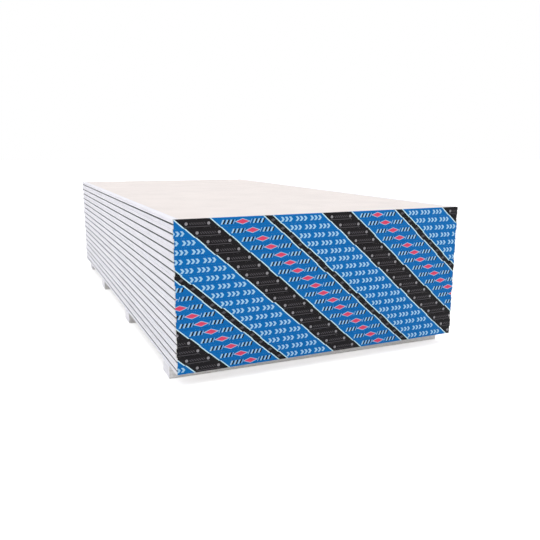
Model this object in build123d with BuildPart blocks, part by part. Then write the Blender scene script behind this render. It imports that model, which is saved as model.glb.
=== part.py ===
from build123d import *
import math
import os

# A lift of gypsum board on its risers.
#
# The boards lie in pairs, face to face, and a paper tape is folded over both
# ends of each pair, which makes it one bundle. The bundles are piled flat. The
# pile stands on risers, which are short strips of board, glued up in plies and
# laid crosswise, with room between them for the forks of a lift truck.
#
# Millimetres. X runs across the boards, Y along them and Z up. The origin is on
# the floor, under the middle of the pile.

# Board
sheet_width = 1219.2
sheet_length = 2438.4
sheet_thickness = 15.875
taper_width = 57.0
taper_depth = 2.2
face_edge_radius = 2.5
back_edge_radius = 1.0

# Pile
bundle_count = 17
pair_gap = 0.1
bundle_clearance = 0.1
side_drift = 1.5
end_drift = 1.0

# End tape
tape_thickness = 0.15
glue_line = 0.05
tape_fold = 12.0
tape_side_margin = 3.0

# Risers, a little shorter than the boards are wide. They were pushed in by hand, so each has
# its own slip across the pile and its own turn in degrees.
riser_width = 101.6
riser_shortfall = 10.0
riser_end_setback = 83.0
riser_pitch = 760.0
riser_slips = (-7.5, -8.0, -6.5, 7.4)
riser_turns = (-1.1, -0.9, -0.7, 0.6)
riser_ply_count = 3
riser_ply_thickness = 15.875
riser_ply_gap = 0.1
riser_ply_stagger = 0.8
riser_clearance = 0.1

# Worked out from the sizes above
pair_height = 2 * sheet_thickness + pair_gap
tape_build = tape_thickness + glue_line
bundle_pitch = pair_height + 2 * tape_build + bundle_clearance
tape_width = sheet_width - 2 * tape_side_margin
riser_length = sheet_width - riser_shortfall
riser_height = riser_ply_count * riser_ply_thickness + (riser_ply_count - 1) * riser_ply_gap
pile_base = riser_height + riser_clearance + tape_build
outer_riser_y = sheet_length / 2 - riser_end_setback - riser_width / 2
golden_angle = math.pi * (3 - math.sqrt(5))


def centred(values):
    """The same values, moved so that the lowest and the highest are as far from zero."""
    middle = (min(values) + max(values)) / 2
    return [value - middle for value in values]


def bundle_shifts():
    """How far each bundle lies out of line with the pile, across and along it."""
    across = centred([math.sin(golden_angle * layer) for layer in range(bundle_count)])
    along = centred([math.cos(golden_angle * layer) for layer in range(bundle_count)])
    return [(side_drift * x, end_drift * y) for x, y in zip(across, along)]


def riser_centres():
    """Where the risers lie along the pile: three at the pitch, and one near the far end."""
    front = -outer_riser_y
    return [front, front + riser_pitch, front + 2 * riser_pitch, outer_riser_y]


def make_sheet(name, back_height, faces_up, shift):
    """One board, with its flat back at a height and its tapered face up or down."""
    shift_x, shift_y = shift
    towards = -1 if faces_up else 1
    start = (shift_x, shift_y - towards * sheet_length / 2, back_height)
    end = Plane(origin=start, x_dir=(1, 0, 0), z_dir=(0, towards, 0))
    edge_x = sheet_width / 2
    edge_y = sheet_thickness - taper_depth
    with BuildPart() as sheet:
        with BuildSketch(end) as section:
            with BuildLine():
                Polyline(
                    (-edge_x, 0),
                    (edge_x, 0),
                    (edge_x, edge_y),
                    (edge_x - taper_width, sheet_thickness),
                    (taper_width - edge_x, sheet_thickness),
                    (-edge_x, edge_y),
                    close=True,
                )
            make_face()
            fillet(section.vertices().group_by(Axis.Y)[0], radius=back_edge_radius)
            fillet(section.vertices().group_by(Axis.Y)[-2], radius=face_edge_radius)
        extrude(amount=sheet_length)
    sheet.part.label = name
    export_step(sheet.part, f"parts/{name}.step")


def make_end_tapes(name, base_height, shift):
    """The two tapes of one bundle, each folded over an end of the pair of boards."""
    shift_x, shift_y = shift
    side = Plane.YZ.offset(shift_x - tape_width / 2)
    board_end = sheet_length / 2
    outer = (tape_fold + tape_build, pair_height + 2 * tape_build)
    inner = (tape_fold + glue_line, pair_height + 2 * glue_line)
    with BuildPart() as tapes:
        for end_y, inwards in ((shift_y - board_end, 1), (shift_y + board_end, -1)):
            reach = (Align.MIN if inwards > 0 else Align.MAX, Align.MIN)
            with BuildSketch(side):
                with Locations((end_y - inwards * tape_build, base_height - tape_build)):
                    Rectangle(*outer, align=reach)
                with Locations((end_y - inwards * glue_line, base_height - glue_line)):
                    Rectangle(*inner, align=reach, mode=Mode.SUBTRACT)
            extrude(amount=tape_width)
    tapes.part.label = name
    export_step(tapes.part, f"parts/{name}.step")


def make_riser(name, slip, centre_y, turn):
    """One riser: plies of board strip on top of each other, a little out of line."""
    with BuildPart() as riser:
        for ply in range(riser_ply_count):
            stagger = riser_ply_stagger * (ply % 2)
            with BuildSketch(Plane.XY.offset(ply * (riser_ply_thickness + riser_ply_gap))):
                with Locations((slip + stagger, centre_y - stagger)):
                    Rectangle(riser_length, riser_width, rotation=turn)
            extrude(amount=riser_ply_thickness)
    riser.part.label = name
    export_step(riser.part, f"parts/{name}.step")


os.makedirs("parts", exist_ok=True)

for number, place in enumerate(zip(riser_slips, riser_centres(), riser_turns), start=1):
    make_riser(f"riser_{number}", *place)

for layer, drift in enumerate(bundle_shifts()):
    base = pile_base + layer * bundle_pitch
    make_sheet(f"sheet_{2 * layer + 1:02d}", base, True, drift)
    make_sheet(f"sheet_{2 * layer + 2:02d}", base + pair_height, False, drift)
    make_end_tapes(f"end_tapes_{layer + 1:02d}", base, drift)
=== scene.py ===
"""Looks for a pile of gypsum boards, bound in pairs by printed end tapes, on its risers.

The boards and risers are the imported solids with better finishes. The end tapes are new
meshes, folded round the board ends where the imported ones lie. Everything is in metres.
"""

import logging
import math
from dataclasses import dataclass
from enum import Enum
from functools import partial, reduce

import bpy
from mathutils import Matrix, Vector


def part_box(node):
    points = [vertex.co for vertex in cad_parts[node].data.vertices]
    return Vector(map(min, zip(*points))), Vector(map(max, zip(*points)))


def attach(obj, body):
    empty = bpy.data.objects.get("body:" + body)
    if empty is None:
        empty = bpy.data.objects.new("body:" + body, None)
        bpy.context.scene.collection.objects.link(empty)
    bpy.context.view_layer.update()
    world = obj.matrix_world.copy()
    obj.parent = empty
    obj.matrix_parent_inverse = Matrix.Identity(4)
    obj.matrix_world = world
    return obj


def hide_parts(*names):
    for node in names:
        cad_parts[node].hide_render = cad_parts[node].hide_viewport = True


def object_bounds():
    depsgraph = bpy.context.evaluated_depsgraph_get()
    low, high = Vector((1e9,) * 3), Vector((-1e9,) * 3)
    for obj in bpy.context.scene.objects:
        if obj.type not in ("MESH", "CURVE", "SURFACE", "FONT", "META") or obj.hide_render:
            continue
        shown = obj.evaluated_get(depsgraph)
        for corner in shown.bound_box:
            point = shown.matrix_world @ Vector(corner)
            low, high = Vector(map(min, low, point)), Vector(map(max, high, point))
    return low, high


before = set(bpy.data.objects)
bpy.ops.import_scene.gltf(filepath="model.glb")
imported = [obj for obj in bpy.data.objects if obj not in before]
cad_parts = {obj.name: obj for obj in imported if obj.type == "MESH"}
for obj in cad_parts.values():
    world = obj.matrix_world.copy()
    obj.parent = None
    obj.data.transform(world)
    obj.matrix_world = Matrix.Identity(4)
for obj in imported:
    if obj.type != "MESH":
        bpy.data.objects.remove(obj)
cad_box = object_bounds()

log = logging.getLogger("board_pile")

Socket = bpy.types.NodeSocket
Inputs = bpy.types.bpy_prop_collection
Value = Socket | bpy.types.Material | float | int | bool | str | tuple[float, ...]
Colour = tuple[float, float, float, float]
Range = tuple[float, float]

BODY = "root"
PRINT_PLACE = "print_place"
DEVELOPED = "developed"
WHITE: Colour = (1.0, 1.0, 1.0, 1.0)

# A face looks along an axis where its normal's share on that axis is more than this.
FACING = 0.7

# A path with two square corners gets shorter by this many radii when they are rounded.
ROUNDED_AWAY = 4 - math.pi


def srgb(red: int, green: int, blue: int) -> Colour:
    """A colour as it shows on screen, as the linear colour that a shader takes.

    Args:
        red: Red on screen, 0 to 255.
        green: Green on screen, 0 to 255.
        blue: Blue on screen, 0 to 255.

    Returns:
        The linear colour, opaque.
    """

    def linear(level: int) -> float:
        """One channel, by the sRGB curve."""
        share = level / 255
        return share / 12.92 if share <= 0.04045 else ((share + 0.055) / 1.055) ** 2.4

    return (linear(red), linear(green), linear(blue), 1.0)


class Mixed(Enum):
    """What a Mix node mixes, with the numbers of its two inputs and its output for that."""

    RGBA = (6, 7, 2)
    VECTOR = (4, 5, 1)


class Graph:
    """A node tree, with short ways to add nodes and join them."""

    def __init__(self, tree: bpy.types.NodeTree) -> None:
        """Starts on a tree.

        Args:
            tree: The shader or geometry tree to add to.
        """
        self.tree = tree

    def add(
        self, kind: str, feeds: dict[str | int, Value] | None = None, **settings: object
    ) -> bpy.types.Node:
        """Adds a node.

        Args:
            kind: The node's type name.
            feeds: What goes into its sockets, by name or number.
            **settings: The node's own properties.

        Returns:
            The new node.
        """
        node = self.tree.nodes.new(kind)
        for name, setting in settings.items():
            setattr(node, name, setting)
        for key, value in (feeds or {}).items():
            self.feed(node.inputs[key], value)
        return node

    def out(
        self, kind: str, feeds: dict[str | int, Value] | None = None, **settings: object
    ) -> Socket:
        """Adds a node as add does, and gives its first output."""
        return self.add(kind, feeds, **settings).outputs[0]

    def feed(self, socket: Socket, value: Value) -> None:
        """Joins a socket to an output, or sets its own value.

        Args:
            socket: The input to feed.
            value: An output to join to it, or a plain value.
        """
        if isinstance(value, bpy.types.NodeSocket):
            self.tree.links.new(value, socket)
        else:
            socket.default_value = value

    def math(self, operation: str, *values: Value) -> Socket:
        """A sum on one to three numbers.

        Args:
            operation: The Math node's operation.
            *values: Its inputs, in order.

        Returns:
            The result.
        """
        return self.out("ShaderNodeMath", dict(enumerate(values)), operation=operation)

    def split(self, vector: Socket) -> tuple[Socket, Socket, Socket]:
        """The three parts of a vector."""
        parts = self.add("ShaderNodeSeparateXYZ", {0: vector}).outputs
        return parts[0], parts[1], parts[2]

    def join(self, x: Value, y: Value, z: Value) -> Socket:
        """A vector made from three numbers."""
        return self.out("ShaderNodeCombineXYZ", {0: x, 1: y, 2: z})

    def size(self, value: Value) -> Socket:
        """A number without its sign."""
        return self.math("ABSOLUTE", value)

    def under(self, value: Value, limit: Value) -> Socket:
        """1 where a number is under a limit, and 0 elsewhere."""
        return self.math("LESS_THAN", value, limit)

    def over(self, value: Value, limit: Value) -> Socket:
        """1 where a number is over a limit, and 0 elsewhere."""
        return self.math("GREATER_THAN", value, limit)

    def within(self, value: Value, middle: Value, reach: Value) -> Socket:
        """1 where a number is no further than a reach from a middle, and 0 elsewhere."""
        return self.math("COMPARE", value, middle, reach)

    def numbered(self, value: Value, number: int) -> Socket:
        """1 where a whole number is this one, and 0 elsewhere."""
        return self.within(value, float(number), 0.1)

    def wrapped(self, value: Value, period: float) -> Socket:
        """A number that repeats: from minus half a period to plus half a period."""
        return self.math("WRAP", value, period / 2, -period / 2)

    def both(self, *masks: Socket) -> Socket:
        """The overlap of masks."""
        return reduce(partial(self.math, "MULTIPLY"), masks)

    def either(self, *masks: Socket) -> Socket:
        """The union of masks."""
        return reduce(partial(self.math, "MAXIMUM"), masks)

    def ramp(
        self, value: Value, low: float, high: float, start: float = 0.0, end: float = 1.0
    ) -> Socket:
        """A number mapped from one range to another, smoothly, and held at the ends.

        Args:
            value: The number.
            low: Where the mapping starts.
            high: Where it ends.
            start: The result at low.
            end: The result at high.

        Returns:
            The mapped number.
        """
        feeds = {"Value": value, "From Min": low, "From Max": high, "To Min": start, "To Max": end}
        return self.add("ShaderNodeMapRange", feeds, interpolation_type="SMOOTHSTEP").outputs["Result"]

    def varied(self, chance: Value, amount: float) -> Socket:
        """A level about 1, from a chance of 0 to 1: the amount is how far apart those two come out."""
        return self.math("MULTIPLY_ADD", chance, amount, 1 - amount / 2)

    def mixture(
        self, kind: Mixed, share: Value, first: Value, second: Value, way: str = "MIX"
    ) -> Socket:
        """A Mix node on two colours or two vectors.

        Args:
            kind: What it mixes.
            share: How much of the second shows, 0 to 1.
            first: What shows at 0.
            second: What shows at 1.
            way: The node's blend type, for colours.

        Returns:
            The mixture.
        """
        first_input, second_input, output = kind.value
        node = self.add("ShaderNodeMix", {"Factor": share}, data_type=kind.name, blend_type=way)
        self.feed(node.inputs[first_input], first)
        self.feed(node.inputs[second_input], second)
        return node.outputs[output]

    def mix(self, share: Value, base: Value, cover: Value) -> Socket:
        """One colour laid over another, as far as the share says."""
        return self.mixture(Mixed.RGBA, share, base, cover)

    def toned(self, colour: Value, level: Socket) -> Socket:
        """A colour made lighter or darker by a level about 1."""
        return self.mixture(Mixed.RGBA, 1.0, colour, self.join(level, level, level), "MULTIPLY")

    def bump(
        self, height: Value, depth: float, under: Socket | None = None, strength: float = 1.0
    ) -> Socket:
        """A relief.

        Args:
            height: The relief's height, about 0 to 1.
            depth: How far height 1 stands out.
            under: A relief that this one lies on.
            strength: How much of it shows.

        Returns:
            The bent normal.
        """
        feeds = {"Height": height, "Distance": depth, "Strength": strength}
        if under is not None:
            feeds["Normal"] = under
        return self.out("ShaderNodeBump", feeds)

    def store(
        self, mesh: Socket, name: str, value: Socket, kind: str, domain: str = "POINT"
    ) -> Socket:
        """Keeps a value with a mesh or a curve, as an attribute.

        Args:
            mesh: The mesh or curve.
            name: The attribute's name.
            value: What it holds.
            kind: Its data type.
            domain: What has one value each.

        Returns:
            The mesh or curve with the attribute.
        """
        feeds = {"Geometry": mesh, "Name": name, "Value": value}
        return self.out("GeometryNodeStoreNamedAttribute", feeds, data_type=kind, domain=domain)


@dataclass(frozen=True)
class Noise:
    """Soft noise about 0.5.

    Its cells are their number to the metre, one for all axes or one for each. Its detail is
    the number of finer layers, and its roughness is how strong those are.
    """

    cells: float | tuple[float, float, float]
    detail: float = 2.0
    roughness: float = 0.5

    def read(self, graph: Graph, place: Value) -> Socket:
        """Reads the noise.

        Args:
            graph: The graph to read it in.
            place: Where to read it.

        Returns:
            The noise at that place.
        """
        scale = self.cells
        if isinstance(self.cells, tuple):
            place = graph.out("ShaderNodeVectorMath", {0: place, 1: self.cells}, operation="MULTIPLY")
            scale = 1.0
        feeds = {"Vector": place, "Scale": scale, "Detail": self.detail, "Roughness": self.roughness}
        return graph.out("ShaderNodeTexNoise", feeds)


def emptied(owner: bpy.types.Material | bpy.types.World) -> Graph:
    """Clears the node tree of a new material or world.

    Args:
        owner: The material or world.

    Returns:
        The graph of its empty tree.
    """
    owner.use_nodes = True
    owner.node_tree.nodes.clear()
    return Graph(owner.node_tree)


def new_material(name: str) -> tuple[bpy.types.Material, Graph, bpy.types.Node]:
    """Starts a material.

    Args:
        name: The material's name.

    Returns:
        The material, its graph and its surface shader.
    """
    material = bpy.data.materials.new(name)
    graph = emptied(material)
    surface = graph.add("ShaderNodeBsdfPrincipled")
    graph.add("ShaderNodeOutputMaterial", {"Surface": surface.outputs[0]})
    return material, graph, surface


def paint(piece: bpy.types.Object, material: bpy.types.Material) -> None:
    """Gives every slot of a piece one material.

    Args:
        piece: The piece.
        material: The material.
    """
    if not piece.material_slots:
        piece.data.materials.append(material)
    for holder in piece.material_slots:
        holder.material = material


class BackSide(Enum):
    """Which way a board's back lies: its face is turned to the other board of its pair."""

    DOWN = -1
    UP = 1


@dataclass(frozen=True)
class PileSizes:
    """What the finishes need to know of the pile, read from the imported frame."""

    half_width: float
    half_length: float
    first_back: float
    pair_height: float
    pair_pitch: float
    board_thickness: float
    pairs: int

    @classmethod
    def from_frame(cls) -> "PileSizes":
        """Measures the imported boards.

        Returns:
            The sizes.
        """
        low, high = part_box("sheet_01")
        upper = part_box("sheet_02")[1]
        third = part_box("sheet_03")[0]
        boards = [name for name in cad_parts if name.startswith("sheet_")]
        return cls(
            half_width=(high.x - low.x) / 2,
            half_length=(high.y - low.y) / 2,
            first_back=low.z,
            pair_height=upper.z - low.z,
            pair_pitch=third.z - low.z,
            board_thickness=high.z - low.z,
            pairs=len(boards) // 2,
        )


@dataclass(frozen=True)
class PaperGrain:
    """The fibre of liner paper: cloudiness, streaks along the board, flecks and a fine tooth."""

    clouds: Noise = Noise(3.2, detail=3.0)
    cloud_amount: float = 0.09
    patches: Noise = Noise(9.0)
    patch_amount: float = 0.11
    streaks: Noise = Noise((70.0, 0.8, 70.0), detail=3.0)
    streak_amount: float = 0.015
    mottle: Noise = Noise(900.0, roughness=0.7)
    mottle_amount: float = 0.05
    fibres: Noise = Noise((1500.0, 260.0, 1500.0), detail=1.0)
    fibre_range: Range = (0.66, 0.72)
    knots: Noise = Noise(330.0, detail=1.0)
    knot_range: Range = (0.45, 0.60)
    tooth: Noise = Noise(1400.0, detail=3.0, roughness=0.6)
    tooth_depth: float = 0.00009
    waves: Noise = Noise((9.0, 2.2, 9.0))
    wave_depth: float = 0.0006
    wave_strength: float = 0.5

    def tone(self, graph: Graph, place: Socket) -> Socket:
        """The paper's light and dark.

        Args:
            graph: The material's graph.
            place: The object coordinates.

        Returns:
            A level about 1.
        """
        level: Value = 1.0
        for noise, amount in (
            (self.clouds, self.cloud_amount),
            (self.patches, self.patch_amount),
            (self.streaks, self.streak_amount),
            (self.mottle, self.mottle_amount),
        ):
            about_zero = graph.math("SUBTRACT", noise.read(graph, place), 0.5)
            level = graph.math("MULTIPLY_ADD", about_zero, amount, level)
        return level

    def flecks(self, graph: Graph, place: Socket) -> Socket:
        """A mask of short fibres that lie mostly along the board.

        Args:
            graph: The material's graph.
            place: The object coordinates.

        Returns:
            The mask.
        """
        fibre = graph.ramp(self.fibres.read(graph, place), *self.fibre_range)
        knot = graph.ramp(self.knots.read(graph, place), *self.knot_range)
        return graph.both(fibre, knot)

    def relief(self, graph: Graph, place: Socket) -> Socket:
        """The paper's tooth and its faint waves."""
        tooth = graph.bump(self.tooth.read(graph, place), self.tooth_depth)
        return graph.bump(self.waves.read(graph, place), self.wave_depth, tooth, self.wave_strength)


@dataclass(frozen=True)
class GypsumCore:
    """Cut gypsum: off-white, with small air pores and saw marks, between two thin papers."""

    colour: Colour = srgb(240, 239, 237)
    tones: Noise = Noise(60.0, detail=4.0, roughness=0.6)
    tone_amount: float = 0.10
    pore_colour: Colour = srgb(186, 184, 180)
    pore_cells: float = 620.0
    pore_range: Range = (0.20, 0.32)
    pore_depth: float = 0.0004
    saw_marks: Noise = Noise((420.0, 420.0, 30.0))
    saw_depth: float = 0.0002
    liner_colour: Colour = srgb(206, 202, 200)
    liner: float = 0.0006

    def shade(self, graph: Graph, place: Socket, from_face: Socket) -> Socket:
        """The colour of the cut face, with the edges of the two papers as thin lines.

        Args:
            graph: The material's graph.
            place: The object coordinates.
            from_face: How far a place is from the board's nearer face.

        Returns:
            The colour.
        """
        tone = graph.varied(self.tones.read(graph, place), self.tone_amount)
        gypsum = graph.mix(self.pores(graph, place), graph.toned(self.colour, tone), self.pore_colour)
        return graph.mix(graph.under(from_face, self.liner), gypsum, self.liner_colour)

    def pores(self, graph: Graph, place: Socket) -> Socket:
        """A mask of the pores."""
        away = graph.out("ShaderNodeTexVoronoi", {"Vector": place, "Scale": self.pore_cells})
        return graph.ramp(away, *self.pore_range, 1.0, 0.0)

    def relief(self, graph: Graph, place: Socket) -> Socket:
        """Pores and saw marks.

        Args:
            graph: The material's graph.
            place: The object coordinates.

        Returns:
            The bent normal.
        """
        marks = graph.bump(self.saw_marks.read(graph, place), self.saw_depth)
        solid = graph.math("SUBTRACT", 1.0, self.pores(graph, place))
        return graph.bump(solid, self.pore_depth, marks)


@dataclass(frozen=True)
class BoardFinish:
    """Board: cool white face paper that wraps the long edges, warmer back paper, cut gypsum ends."""

    sizes: PileSizes
    back_side: BackSide
    face_colour: Colour = srgb(249, 248, 255)
    back_colour: Colour = srgb(245, 237, 234)
    board_variation: float = 0.03
    side_seed: float = 0.31
    fleck_colour: Colour = srgb(176, 168, 160)
    face_flecks: float = 0.28
    back_flecks: float = 0.5
    seam_colour: Colour = srgb(206, 200, 196)
    seam_strength: float = 0.5
    seam: float = 0.0007
    seam_bends: Noise = Noise((0.0, 30.0, 0.0))
    seam_wander: float = 0.0008
    overlap: float = 0.027
    overlap_step: float = 0.0003
    # painted shade in the gap between the tapered edges of a pair: its reach, depth, darkest level, range
    # and samples
    gap_reach: float = 0.026
    gap_depth: float = 0.025
    gap_floor: float = 0.22
    gap_range: Range = (0.5, 1.0)
    gap_samples: int = 6
    sheen: Noise = Noise(240.0)
    paper_roughness: float = 0.70
    roughness_spread: float = 0.16
    cut_roughness: float = 0.95
    specular: float = 0.3
    grain: PaperGrain = PaperGrain()
    core: GypsumCore = GypsumCore()

    def material(self) -> bpy.types.Material:
        """Builds the finish.

        Returns:
            The material.
        """
        material, graph, surface = new_material(f"gypsum_board_back_{self.back_side.name.lower()}")
        coordinates = graph.add("ShaderNodeTexCoord")
        place = coordinates.outputs["Object"]
        x, _, z = graph.split(place)
        _, normal_y, normal_z = graph.split(coordinates.outputs["Normal"])
        from_middle = graph.size(x)
        backwards = graph.math("MULTIPLY", normal_z, float(self.back_side.value))
        on_end = graph.over(graph.size(normal_y), FACING)
        on_back = graph.over(backwards, FACING)

        seam_at = self.sizes.half_width - self.overlap
        bend = self.seam_bends.read(graph, place)
        seam_centre = graph.math("MULTIPLY_ADD", bend, self.seam_wander, seam_at)
        on_seam = graph.both(on_back, graph.within(from_middle, seam_centre, self.seam / 2))
        back_paper = graph.both(on_back, graph.under(from_middle, seam_at))

        tone = graph.math("MULTIPLY", self.grain.tone(graph, place), self.board_tone(graph, z))
        paper = graph.toned(graph.mix(back_paper, self.face_colour, self.back_colour), tone)
        fleck_share = graph.ramp(back_paper, 0.0, 1.0, self.face_flecks, self.back_flecks)
        flecks = graph.math("MULTIPLY", self.grain.flecks(graph, place), fleck_share)
        paper = graph.mix(flecks, paper, self.fleck_colour)
        seam = graph.math("MULTIPLY", on_seam, self.seam_strength)
        paper = graph.mix(seam, paper, self.seam_colour)
        # painted shade: the colour goes darker inside the gap between a pair's tapered edges
        paper = graph.toned(paper, self.gap_shade(graph, from_middle, z))
        cut = self.core.shade(graph, place, self.from_face(graph, z))
        graph.feed(surface.inputs["Base Color"], graph.mix(on_end, paper, cut))

        rough_paper = graph.math(
            "MULTIPLY_ADD", self.sheen.read(graph, place), self.roughness_spread, self.paper_roughness
        )
        rough_cut = graph.math("MULTIPLY", on_end, self.cut_roughness)
        graph.feed(surface.inputs["Roughness"], graph.either(rough_paper, rough_cut))
        surface.inputs["Specular IOR Level"].default_value = self.specular

        past_seam = graph.over(from_middle, seam_centre)
        paper_relief = graph.bump(past_seam, self.overlap_step, self.grain.relief(graph, place))
        cut_relief = self.core.relief(graph, place)
        relief = graph.mixture(Mixed.VECTOR, on_end, paper_relief, cut_relief)
        graph.feed(surface.inputs["Normal"], relief)
        return material

    def gap_shade(self, graph: Graph, from_middle: Socket, height: Socket) -> Socket:
        """Painted shade: darkens the colour in the gap between the tapered edges of a pair, by ambient
        occlusion, where little light leaves again.

        Args:
            graph: The material's graph.
            from_middle: The distance from the board's middle, across it.
            height: The height above the floor.

        Returns:
            A level of 1 on open surfaces, and less inside the gap.
        """
        in_pair = self.in_pair(graph, height)
        by_gap = graph.within(in_pair, self.sizes.pair_height / 2, self.sizes.board_thickness / 2)
        by_edge = graph.over(from_middle, self.sizes.half_width - self.gap_depth)
        near = graph.add(
            "ShaderNodeAmbientOcclusion", {"Distance": self.gap_reach}, samples=self.gap_samples
        )
        openness = near.outputs["AO"]
        lost = graph.ramp(openness, *self.gap_range, 1.0 - self.gap_floor, 0.0)
        return graph.math("SUBTRACT", 1.0, graph.both(lost, by_gap, by_edge))

    def in_pair(self, graph: Graph, height: Socket) -> Socket:
        """The height above the underside of the pair that a place belongs to."""
        upwards = graph.math("SUBTRACT", height, self.sizes.first_back)
        return graph.math("FLOORED_MODULO", upwards, self.sizes.pair_pitch)

    def from_face(self, graph: Graph, height: Socket) -> Socket:
        """How far a place is from the nearer of its board's two faces.

        Args:
            graph: The material's graph.
            height: The height above the floor.

        Returns:
            The distance.
        """
        from_back = self.in_pair(graph, height)
        if self.back_side is BackSide.UP:
            from_back = graph.math("SUBTRACT", self.sizes.pair_height, from_back)
        from_front = graph.math("SUBTRACT", self.sizes.board_thickness, from_back)
        return graph.math("MINIMUM", from_back, from_front)

    def board_tone(self, graph: Graph, height: Socket) -> Socket:
        """A small difference in tone from board to board, by where each lies in the pile.

        Args:
            graph: The material's graph.
            height: The height above the floor.

        Returns:
            A level about 1.
        """
        upwards = graph.math("SUBTRACT", height, self.sizes.first_back)
        pair = graph.math("FLOOR", graph.math("DIVIDE", upwards, self.sizes.pair_pitch))
        seed = graph.math("ADD", pair, self.side_seed * self.back_side.value)
        chance = graph.out("ShaderNodeTexWhiteNoise", {"W": seed}, noise_dimensions="1D")
        return graph.varied(chance, self.board_variation)


@dataclass(frozen=True)
class RiserFinish:
    """Riser: strips cut across a board, so paper wraps their ends, and both long sides are cut."""

    ply_thickness: float
    ply_pitch: float
    paper_colour: Colour = srgb(251, 250, 255)
    roughness: float = 0.9
    specular: float = 0.2
    grain: PaperGrain = PaperGrain()
    core: GypsumCore = GypsumCore()

    def material(self) -> bpy.types.Material:
        """Builds the finish.

        Returns:
            The material.
        """
        material, graph, surface = new_material("riser_plies")
        coordinates = graph.add("ShaderNodeTexCoord")
        place = coordinates.outputs["Object"]
        height = graph.split(place)[2]
        normal_y = graph.split(coordinates.outputs["Normal"])[1]
        on_paper = graph.under(graph.size(normal_y), FACING)
        in_ply = graph.math("FLOORED_MODULO", height, self.ply_pitch)
        from_top = graph.math("SUBTRACT", self.ply_thickness, in_ply)

        paper = graph.toned(self.paper_colour, self.grain.tone(graph, place))
        cut = self.core.shade(graph, place, graph.math("MINIMUM", in_ply, from_top))
        graph.feed(surface.inputs["Base Color"], graph.mix(on_paper, cut, paper))
        graph.feed(surface.inputs["Normal"], self.core.relief(graph, place))
        surface.inputs["Roughness"].default_value = self.roughness
        surface.inputs["Specular IOR Level"].default_value = self.specular
        return material


@dataclass(frozen=True)
class SlantedBars:
    """A row of slanted bars, with a bare stretch in its middle."""

    pitch: float = 0.0150
    bar: float = 0.0060
    slant: float = 0.45
    half_height: float = 0.0078
    first: float = 0.031
    last: float = 0.084

    def mask(self, graph: Graph, local: Socket, across: Socket) -> Socket:
        """The mask of the bars.

        Args:
            graph: The material's graph.
            local: The place along the tape, from the middle of the row.
            across: The place across the tape, from its middle.

        Returns:
            The mask.
        """
        leaning = graph.math("MULTIPLY_ADD", across, -self.slant, local)
        bars = graph.under(graph.size(graph.wrapped(leaning, self.pitch)), self.bar / 2)
        middle, reach = (self.first + self.last) / 2, (self.last - self.first) / 2
        zone = graph.within(graph.size(leaning), middle, reach)
        return graph.both(bars, zone, graph.under(graph.size(across), self.half_height))


@dataclass(frozen=True)
class Lozenge:
    """A lozenge that lies along the tape."""

    half_length: float
    half_height: float

    def mask(self, graph: Graph, local: Socket, across: Socket) -> Socket:
        """The mask of the lozenge.

        Args:
            graph: The material's graph.
            local: The place along the tape, from the lozenge's middle.
            across: The place across the tape, from its middle.

        Returns:
            The mask.
        """
        reach = graph.math("DIVIDE", graph.size(local), self.half_length)
        rise = graph.math("DIVIDE", graph.size(across), self.half_height)
        return graph.under(graph.math("ADD", reach, rise), 1.0)


@dataclass(frozen=True)
class Chevrons:
    """Chevrons in small groups along the middle of the tape."""

    pitch: float = 0.0165
    bar: float = 0.0086
    point: float = 0.8
    half_height: float = 0.0088
    group: float = 0.060
    in_group: int = 3
    reach: float = 0.090

    def mask(self, graph: Graph, local: Socket, across: Socket) -> Socket:
        """The mask of the chevrons.

        Args:
            graph: The material's graph.
            local: The place along the tape, from the middle of the row.
            across: The place across the tape, from its middle.

        Returns:
            The mask.
        """
        from_line = graph.size(across)
        folded = graph.math("MULTIPLY_ADD", from_line, self.point, local)
        from_group = graph.wrapped(folded, self.group)
        bars = graph.under(graph.size(graph.wrapped(from_group, self.pitch)), self.bar / 2)
        grouped = graph.under(graph.size(from_group), self.in_group / 2 * self.pitch)
        in_height = graph.under(from_line, self.half_height)
        in_row = graph.under(graph.size(folded), self.reach)
        return graph.both(bars, grouped, in_height, in_row)


@dataclass(frozen=True)
class Dots:
    """Two dots, one on each side of a middle."""

    spread: float = 0.040
    radius: float = 0.0054

    def mask(self, graph: Graph, local: Socket, across: Socket) -> Socket:
        """The mask of the dots.

        Args:
            graph: The material's graph.
            local: The place along the tape, from the middle of the two.
            across: The place across the tape, from its middle.

        Returns:
            The mask.
        """
        beside = graph.math("SUBTRACT", graph.size(local), self.spread)
        squares = [graph.math("POWER", part, 2.0) for part in (beside, across)]
        away = graph.math("SQRT", graph.math("ADD", *squares))
        return graph.under(away, self.radius)


@dataclass(frozen=True)
class Hatching:
    """Fine slanted strokes over a thin rule."""

    pitch: float = 0.0090
    stroke: float = 0.0036
    half_height: float = 0.0042
    reach: float = 0.029
    rule_at: float = -0.0105
    half_rule: float = 0.0011
    rule_reach: float = 0.0464

    def mask(self, graph: Graph, local: Socket, across: Socket) -> Socket:
        """The mask of the strokes and the rule.

        Args:
            graph: The material's graph.
            local: The place along the tape, from the middle of the strokes.
            across: The place across the tape, from its middle.

        Returns:
            The mask.
        """
        from_middle = graph.size(local)
        leaning = graph.math("ADD", local, across)
        strokes = graph.both(
            graph.under(graph.size(graph.wrapped(leaning, self.pitch)), self.stroke / 2),
            graph.under(graph.size(across), self.half_height),
            graph.under(from_middle, self.reach),
        )
        on_rule = graph.within(across, self.rule_at, self.half_rule)
        ruled = graph.both(on_rule, graph.under(from_middle, self.rule_reach))
        return graph.either(strokes, ruled)


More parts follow.
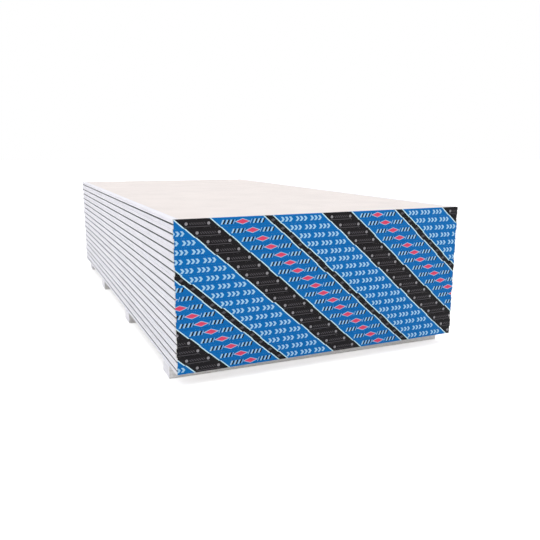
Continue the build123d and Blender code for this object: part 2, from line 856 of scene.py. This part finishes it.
@dataclass(frozen=True)
class TapePrint:
    """Printed end tape: blue with slanting black bands, pale lines beside them, and rows of small marks."""

    half_developed: float
    blue: Colour = srgb(0, 113, 190)
    black: Colour = srgb(25, 23, 26)
    line_colour: Colour = srgb(206, 240, 248)
    pale: Colour = srgb(168, 213, 240)
    bare_paper: Colour = srgb(236, 238, 240)
    red: Colour = srgb(232, 76, 112)
    grey: Colour = srgb(152, 149, 153)
    dim: Colour = srgb(84, 81, 85)
    wide_band: float = 0.130
    narrow_band: float = 0.036
    blue_band: float = 0.200
    line: float = 0.0058
    lean: float = 1.10
    bare_edge: float = 0.0015
    bars: SlantedBars = SlantedBars()
    bar_shadow: float = 0.0060
    lozenge: Lozenge = Lozenge(half_length=0.025, half_height=0.0090)
    lozenge_rim: Lozenge = Lozenge(half_length=0.0305, half_height=0.01098)
    chevrons: Chevrons = Chevrons()
    dots: Dots = Dots()
    hatching: Hatching = Hatching()
    rhombus: Lozenge = Lozenge(half_length=0.010, half_height=0.0060)
    blotches: Noise = Noise(90.0, detail=3.0)
    blotch_amount: float = 0.10
    misses: Noise = Noise(1900.0)
    miss_range: Range = (0.72, 0.80)
    miss_strength: float = 0.12
    sheen: Noise = Noise(400.0)
    roughness: float = 0.38
    roughness_spread: float = 0.2
    specular: float = 0.12
    fibres: Noise = Noise((500.0, 1600.0, 1.0), detail=3.0)
    fibre_depth: float = 0.00004

    @property
    def repeat(self) -> float:
        """The length after which the bands start again."""
        return self.wide_band + self.narrow_band + 2 * self.blue_band

    def material(self) -> bpy.types.Material:
        """Builds the finish.

        Returns:
            The material.
        """
        material, graph, surface = new_material("end_tape_print")
        place = graph.add("ShaderNodeAttribute", attribute_name=PRINT_PLACE).outputs["Vector"]
        along, across, _ = graph.split(place)
        ink = self.artwork(graph, along, across)
        ink = graph.toned(ink, graph.varied(self.blotches.read(graph, place), self.blotch_amount))
        missed = graph.ramp(self.misses.read(graph, place), *self.miss_range, 0.0, self.miss_strength)
        graph.feed(surface.inputs["Base Color"], graph.mix(missed, ink, self.bare_paper))

        sheen = self.sheen.read(graph, place)
        roughness = graph.math("MULTIPLY_ADD", sheen, self.roughness_spread, self.roughness)
        graph.feed(surface.inputs["Roughness"], roughness)
        surface.inputs["Specular IOR Level"].default_value = self.specular
        fibre = graph.bump(self.fibres.read(graph, place), self.fibre_depth)
        graph.feed(surface.inputs["Normal"], fibre)
        return material

    def artwork(self, graph: Graph, along: Socket, across: Socket) -> Socket:
        """The inks of the bands and the marks in them.

        Args:
            graph: The material's graph.
            along: The place along the tape.
            across: The place across the tape, from its middle.

        Returns:
            The colour.
        """
        slanted = graph.math("MULTIPLY_ADD", across, self.lean, along)
        half_repeat = self.repeat / 2
        from_wide = graph.size(graph.wrapped(slanted, self.repeat))
        from_narrow = graph.size(graph.wrapped(graph.math("ADD", slanted, half_repeat), self.repeat))
        bands = ((from_wide, self.wide_band / 2), (from_narrow, self.narrow_band / 2))
        in_black = graph.either(*(graph.under(away, half) for away, half in bands))
        on_line = graph.either(*(graph.within(away, half, self.line / 2) for away, half in bands))
        on_edge = graph.over(graph.size(across), self.half_developed - self.bare_edge)

        blue_middle = (self.wide_band + self.blue_band) / 2
        in_wide, in_narrow, in_first, in_second = (
            graph.wrapped(graph.math("ADD", along, shift), self.repeat)
            for shift in (0.0, half_repeat, -blue_middle, blue_middle)
        )
        ink = graph.mix(in_black, self.blue, self.black)
        for marks, local, colour in (
            (self.hatching, in_wide, self.dim),
            (self.rhombus, in_narrow, self.dim),
            (self.dots, in_wide, self.grey),
            (self.bars, in_first, self.pale),
            (self.bars, graph.math("SUBTRACT", in_first, self.bar_shadow), self.black),
            (self.lozenge_rim, in_first, self.pale),
            (self.lozenge, in_first, self.red),
            (self.chevrons, in_second, self.pale),
        ):
            ink = graph.mix(marks.mask(graph, local, across), ink, colour)
        return graph.mix(on_edge, graph.mix(on_line, ink, self.line_colour), self.bare_paper)


def seen_directly(graph: Graph) -> Socket:
    """1 for a ray that shows the background: from the camera, a reflection or through glass."""
    rays = graph.add("ShaderNodeLightPath").outputs
    return graph.either(rays["Is Camera Ray"], rays["Is Glossy Ray"], rays["Is Transmission Ray"])


@dataclass(frozen=True)
class FloorFinish:
    """Plain white floor, which keeps the shadow of the pile."""

    colour: Colour = (0.94, 0.94, 0.94, 1.0)
    lift: float = 0.50

    def material(self) -> bpy.types.Material:
        """Builds the finish.

        Returns:
            The material.
        """
        material = bpy.data.materials.new("studio_floor")
        graph = emptied(material)
        matt = graph.out("ShaderNodeBsdfDiffuse", {"Color": self.colour})
        strength = graph.math("MULTIPLY", seen_directly(graph), self.lift)
        glow = graph.out("ShaderNodeEmission", {"Strength": strength})
        both = graph.out("ShaderNodeAddShader", {0: matt, 1: glow})
        graph.add("ShaderNodeOutputMaterial", {"Surface": both})
        return material


@dataclass(frozen=True)
class Boards:
    """The gypsum boards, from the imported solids."""

    sizes: PileSizes

    def dress(self) -> None:
        """Gives each board its finish: odd boards lie on their backs, even ones on their faces."""
        finishes = {side: BoardFinish(self.sizes, side).material() for side in BackSide}
        for number in range(1, 2 * self.sizes.pairs + 1):
            side = BackSide.DOWN if number % 2 else BackSide.UP
            name = f"sheet_{number:02d}"
            paint(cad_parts[name], finishes[side])
            log.info("%s: back %s", name, side.name.lower())


@dataclass(frozen=True)
class Risers:
    """The risers under the pile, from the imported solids."""

    plies: int = 3
    ply_gap: float = 0.0001

    def dress(self) -> None:
        """Gives each riser its finish."""
        names = sorted(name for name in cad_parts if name.startswith("riser_"))
        low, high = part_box(names[0])
        thickness = (high.z - low.z - (self.plies - 1) * self.ply_gap) / self.plies
        finish = RiserFinish(ply_thickness=thickness, ply_pitch=thickness + self.ply_gap).material()
        for name in names:
            paint(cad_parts[name], finish)
            log.info("%s: dressed", name)


@dataclass(frozen=True)
class EndTapes:
    """The paper tapes, each folded over one end of a pair of boards."""

    sizes: PileSizes
    paper: float = 0.00015
    fold: float = 0.012
    corner: float = 0.0005
    columns: int = 96
    rows: int = 9
    corner_points: int = 3
    weld: float = 0.00001
    crease: float = math.radians(50)
    start: float = 0.085
    back_start: float = 0.310
    step: float = 0.037
    wander: float = 0.0018
    wander_turn: float = 2.1
    bulge: float = 0.00025
    bubbles: Noise = Noise(1.0)
    bubbles_across: float = 14.0
    bubbles_up: float = 70.0
    bubble_range: Range = (0.42, 0.75)
    fading_range: Range = (0.72, 0.93)
    seed_step: float = 3.7
    back_seed: float = 50.0

    def tree(self, material: bpy.types.Material) -> bpy.types.NodeTree:
        """Builds the node tree that folds and places the two tapes of one pair.

        Args:
            material: The print.

        Returns:
            The tree.
        """
        tree = bpy.data.node_groups.new("folded_tapes", "GeometryNodeTree")
        tree.interface.new_socket("Tapes", in_out="OUTPUT", socket_type="NodeSocketGeometry")
        sizes = ("Width", "Inner Height", "Fold", "Paper", "Corner", "Bulge", "Half Length")
        for name in (*sizes, "Print Start", "Back Print Start", "Seed"):
            tree.interface.new_socket(name, in_out="INPUT", socket_type="NodeSocketFloat")
        tree.interface.new_socket("Middle", in_out="INPUT", socket_type="NodeSocketVector")
        graph = Graph(tree)
        given = graph.add("NodeGroupInput").outputs

        front = self.strip(graph, given, given["Print Start"], given["Seed"])
        towards = graph.math("MULTIPLY", given["Half Length"], -1.0)
        back_seed = graph.math("ADD", given["Seed"], self.back_seed)
        back = self.strip(graph, given, given["Back Print Start"], back_seed)
        pair = graph.add("GeometryNodeJoinGeometry")
        for tape, along, turn in ((front, towards, math.pi), (back, given["Half Length"], 0.0)):
            place = {"Translation": graph.join(0.0, along, 0.0), "Rotation": (0.0, 0.0, turn)}
            moved = graph.out("GeometryNodeTransform", {"Geometry": tape, **place})
            graph.feed(pair.inputs[0], moved)

        feeds = {"Geometry": pair.outputs[0], "Translation": given["Middle"]}
        placed = graph.out("GeometryNodeTransform", feeds)
        real = graph.out("GeometryNodeRealizeInstances", {"Geometry": placed})
        inked = graph.out("GeometryNodeSetMaterial", {"Geometry": real, "Material": material})
        graph.add("NodeGroupOutput", {0: inked})
        return tree

    def strip(self, graph: Graph, given: Inputs, start: Socket, seed: Socket) -> Socket:
        """One tape, folded round an end that faces +Y, with its middle at the origin.

        Args:
            graph: The tree's graph.
            given: The tree's inputs.
            start: Where the print starts along the tape.
            seed: What sets this tape's unevenness apart from the others'.

        Returns:
            The tape, as a closed mesh.
        """
        half_height = graph.math("MULTIPLY", given["Inner Height"], 0.5)
        half_width = graph.math("MULTIPLY", given["Width"], 0.5)
        swept = self.swept(graph, self.profile(graph, given, half_height), half_width)
        x = graph.split(graph.out("GeometryNodeInputPosition"))[0]
        along = graph.math("SUBTRACT", graph.math("SUBTRACT", half_width, x), start)
        place = graph.join(along, self.across(graph, given), seed)
        printed = graph.store(swept, PRINT_PLACE, place, "FLOAT_VECTOR")
        closed = self.thickened(graph, given, printed)
        offset = self.unevenness(graph, given, half_height, seed)
        uneven = graph.out("GeometryNodeSetPosition", {"Geometry": closed, "Offset": offset})
        return self.creased(graph, uneven)

    def profile(self, graph: Graph, given: Inputs, half_height: Socket) -> Socket:
        """The tape's cross-section: straight down the boards' ends, with a fold at each end of it.

        Args:
            graph: The tree's graph.
            given: The tree's inputs.
            half_height: Half of the height between the folds.

        Returns:
            The curve, with each point's length along it stored.
        """
        lower = graph.math("MULTIPLY", half_height, -1.0)
        fold = given["Fold"]
        path = graph.add("GeometryNodeCurvePrimitiveQuadrilateral", mode="POINTS")
        corners = ((fold, half_height), (0.0, half_height), (0.0, lower), (fold, lower))
        for number, (inwards, up) in enumerate(corners, start=1):
            graph.feed(path.inputs[f"Point {number}"], graph.join(inwards, up, 0.0))
        feeds = {"Geometry": path.outputs[0], "Cyclic": False}
        opened = graph.out("GeometryNodeSetSplineCyclic", feeds)
        feeds = {"Curve": opened, "Count": self.corner_points, "Radius": given["Corner"]}
        rounded = graph.out("GeometryNodeFilletCurve", feeds, mode="POLY")
        between_folds = graph.numbered(graph.out("GeometryNodeInputIndex"), self.corner_points + 1)
        cuts = graph.math("MULTIPLY", between_folds, float(self.rows))
        divided = graph.out("GeometryNodeSubdivideCurve", {"Curve": rounded, "Cuts": cuts})
        length = graph.add("GeometryNodeSplineParameter").outputs["Length"]
        return graph.store(divided, DEVELOPED, length, "FLOAT")

    def swept(self, graph: Graph, profile: Socket, half_width: Socket) -> Socket:
        """Draws the cross-section out across the boards.

        Args:
            graph: The tree's graph.
            profile: The cross-section.
            half_width: Half of the length to draw it out to.

        Returns:
            The folded surface.
        """
        begin = graph.join(graph.math("MULTIPLY", half_width, -1.0), 0.0, 0.0)
        end = graph.join(half_width, 0.0, 0.0)
        line = graph.out("GeometryNodeCurvePrimitiveLine", {"Start": begin, "End": end})
        rail = graph.out("GeometryNodeResampleCurve", {"Curve": line, "Count": self.columns})
        upright = graph.out("GeometryNodeSetCurveNormal", {"Curve": rail}, mode="Z_UP")
        return graph.out("GeometryNodeCurveToMesh", {"Curve": upright, "Profile Curve": profile})

    def across(self, graph: Graph, given: Inputs) -> Socket:
        """The place across the unfolded tape.

        Args:
            graph: The tree's graph.
            given: The tree's inputs.

        Returns:
            The place, from the tape's middle.
        """
        total = graph.math("MULTIPLY_ADD", given["Fold"], 2.0, given["Inner Height"])
        lost = graph.math("MULTIPLY", given["Corner"], ROUNDED_AWAY)
        half = graph.math("MULTIPLY", graph.math("SUBTRACT", total, lost), 0.5)
        length = graph.out("GeometryNodeInputNamedAttribute", {"Name": DEVELOPED}, data_type="FLOAT")
        return graph.math("SUBTRACT", length, half)

    def thickened(self, graph: Graph, given: Inputs, mesh: Socket) -> Socket:
        """Gives the surface the paper's thickness, outwards.

        Args:
            graph: The tree's graph.
            given: The tree's inputs.
            mesh: The surface.

        Returns:
            The closed mesh.
        """
        feeds = {"Mesh": mesh, "Offset Scale": given["Paper"], "Individual": False}
        outside = graph.out("GeometryNodeExtrudeMesh", feeds)
        inside = graph.out("GeometryNodeFlipFaces", {"Mesh": mesh})
        shell = graph.add("GeometryNodeJoinGeometry")
        for skin in (outside, inside):
            graph.feed(shell.inputs[0], skin)
        feeds = {"Geometry": shell.outputs[0], "Distance": self.weld}
        return graph.out("GeometryNodeMergeByDistance", feeds)

    def creased(self, graph: Graph, mesh: Socket) -> Socket:
        """Shades the tape smooth, apart from its sharp edges.

        Args:
            graph: The tree's graph.
            mesh: The tape.

        Returns:
            The shaded tape.
        """
        sharp = graph.over(graph.out("GeometryNodeInputMeshEdgeAngle"), self.crease)
        edges = graph.store(mesh, "sharp_edge", sharp, "BOOLEAN", "EDGE")
        return graph.out("GeometryNodeSetShadeSmooth", {"Geometry": edges})

    def unevenness(self, graph: Graph, given: Inputs, half_height: Socket, seed: Socket) -> Socket:
        """How far the paper stands off the boards' ends: soft bubbles that die out at the folds.

        Args:
            graph: The tree's graph.
            given: The tree's inputs.
            half_height: Half of the height between the folds.
            seed: What sets this tape apart.

        Returns:
            The offset.
        """
        x, _, z = graph.split(graph.out("GeometryNodeInputPosition"))
        sideways = graph.math("MULTIPLY", x, self.bubbles_across)
        upwards = graph.math("MULTIPLY", z, self.bubbles_up)
        bubble = self.bubbles.read(graph, graph.join(sideways, seed, upwards))
        bubble = graph.ramp(bubble, *self.bubble_range)
        from_middle = graph.math("DIVIDE", graph.size(z), half_height)
        fading = graph.ramp(from_middle, *self.fading_range, 1.0, 0.0)
        rise = graph.math("MULTIPLY", graph.both(bubble, fading), given["Bulge"])
        return graph.join(0.0, rise, 0.0)

    def inner_height(self, low: Vector, high: Vector) -> float:
        """The height between the folds of a packed tape, from its box."""
        return high.z - low.z - 2 * self.paper

    def build(self) -> None:
        """Makes the tapes of every pair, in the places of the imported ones."""
        nodes = [f"end_tapes_{layer:02d}" for layer in range(1, self.sizes.pairs + 1)]
        developed = self.inner_height(*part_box(nodes[0])) + 2 * self.fold - ROUNDED_AWAY * self.corner
        tree = self.tree(TapePrint(half_developed=developed / 2).material())
        for layer, node in enumerate(nodes, start=1):
            low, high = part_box(node)
            onwards = self.step * (self.sizes.pairs - layer)
            drift = self.wander * math.sin(self.wander_turn * layer)
            room = min(low.y - cad_box[0][1], cad_box[1][1] - high.y)
            values = {
                "Width": high.x - low.x,
                "Inner Height": self.inner_height(low, high),
                "Fold": self.fold,
                "Paper": self.paper,
                "Corner": self.corner,
                "Bulge": min(self.bulge, room),
                "Half Length": (high.y - low.y) / 2 - self.paper,
                "Print Start": self.start + onwards + drift,
                "Back Print Start": self.back_start + onwards - drift,
                "Seed": self.seed_step * layer,
                "Middle": tuple((low + high) / 2),
            }
            piece = grow(tree, f"tapes_{layer:02d}", values)
            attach(piece, BODY)
            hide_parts(node)
            log.info("%s: %d faces, stands for %s", piece.name, len(piece.data.polygons), node)


def grow(
    tree: bpy.types.NodeTree, name: str, values: dict[str, float | tuple[float, ...]]
) -> bpy.types.Object:
    """Runs a node tree and keeps what it makes as a plain mesh.

    Args:
        tree: The tree.
        name: The new piece's name.
        values: The tree's inputs, by name.

    Returns:
        The piece.
    """
    piece = bpy.data.objects.new(name, bpy.data.meshes.new(name))
    bpy.context.scene.collection.objects.link(piece)
    modifier = piece.modifiers.new("build", "NODES")
    modifier.node_group = tree
    inputs = (socket for socket in tree.interface.items_tree if socket.in_out == "INPUT")
    identifiers = {socket.name: socket.identifier for socket in inputs}
    for label, value in values.items():
        modifier[identifiers[label]] = value
    depsgraph = bpy.context.evaluated_depsgraph_get()
    mesh = bpy.data.meshes.new_from_object(
        piece.evaluated_get(depsgraph), preserve_all_data_layers=True, depsgraph=depsgraph
    )
    mesh.name = name
    piece.modifiers.remove(modifier)
    piece.data = mesh
    return piece


@dataclass(frozen=True)
class Studio:
    """Camera, sky and floor."""

    sizes: PileSizes
    left_of_pile: float = 0.4952
    before_pile: float = 1.8847
    above_boards: float = 0.7803
    yaw: float = math.radians(24.36)
    pitch: float = math.radians(11.74)
    roll: float = math.radians(0.26)
    focal_pixels: float = 579.5
    image_pixels: float = 540.0
    sensor: float = 36.0
    view_end: float = 200.0
    horizon: float = 2.0
    horizon_range: Range = (0.02, 0.22)
    sky: float = 0.25
    overhead: float = 1.48
    overhead_range: Range = (0.57, 0.87)
    floor_size: float = 80.0

    def camera(self) -> None:
        """Places the camera at the photograph's view."""
        data = bpy.data.cameras.new("camera")
        data.sensor_width = self.sensor
        data.lens = self.sensor * self.focal_pixels / self.image_pixels
        data.clip_end = self.view_end
        holder = bpy.data.objects.new("camera", data)
        bpy.context.scene.collection.objects.link(holder)
        sideways = Vector((math.cos(self.yaw), -math.sin(self.yaw), 0.0))
        level = math.cos(self.pitch)
        ahead = Vector(
            (math.sin(self.yaw) * level, math.cos(self.yaw) * level, -math.sin(self.pitch))
        )
        up = sideways.cross(ahead)
        right = sideways * math.cos(self.roll) + up * math.sin(self.roll)
        top = up * math.cos(self.roll) - sideways * math.sin(self.roll)
        turn = Matrix((right, top, -ahead)).transposed().to_4x4()
        place = Vector(
            (
                -self.sizes.half_width - self.left_of_pile,
                -self.sizes.half_length - self.before_pile,
                self.sizes.first_back + self.above_boards,
            )
        )
        holder.matrix_world = Matrix.Translation(place) @ turn
        bpy.context.scene.camera = holder

    def world(self) -> None:
        """A soft sky, brighter overhead and low all round, which shows as plain white."""
        world = bpy.data.worlds.new("studio")
        graph = emptied(world)
        height = graph.split(graph.add("ShaderNodeTexCoord").outputs["Generated"])[2]
        low = graph.ramp(height, *self.horizon_range, self.horizon, 0.0)
        high = graph.ramp(height, *self.overhead_range, self.sky, self.sky + self.overhead)
        seen = seen_directly(graph)
        unseen = graph.math("SUBTRACT", 1.0, seen)
        strength = graph.math("MULTIPLY_ADD", graph.math("ADD", low, high), unseen, seen)
        backdrop = graph.out("ShaderNodeBackground", {"Color": WHITE, "Strength": strength})
        graph.add("ShaderNodeOutputWorld", {"Surface": backdrop})
        bpy.context.scene.world = world

    def floor(self) -> None:
        """A plain floor under the pile."""
        half = self.floor_size / 2
        corners = [(-half, -half, 0), (half, -half, 0), (half, half, 0), (-half, half, 0)]
        mesh = bpy.data.meshes.new("floor")
        mesh.from_pydata(corners, [], [(0, 1, 2, 3)])
        holder = bpy.data.objects.new("floor", mesh)
        bpy.context.scene.collection.objects.link(holder)
        paint(holder, FloorFinish().material())

    def build(self) -> None:
        """Sets up everything around the pile."""
        self.camera()
        self.world()
        self.floor()
        bpy.context.scene.view_settings.view_transform = "Standard"
        log.info("studio: camera, sky and floor")


def main() -> None:
    """Builds the looks in order."""
    logging.basicConfig(level=logging.INFO, format="%(message)s")
    sizes = PileSizes.from_frame()
    Studio(sizes).build()
    Boards(sizes).dress()
    EndTapes(sizes).build()
    Risers().dress()


if __name__ == "__main__":
    main()
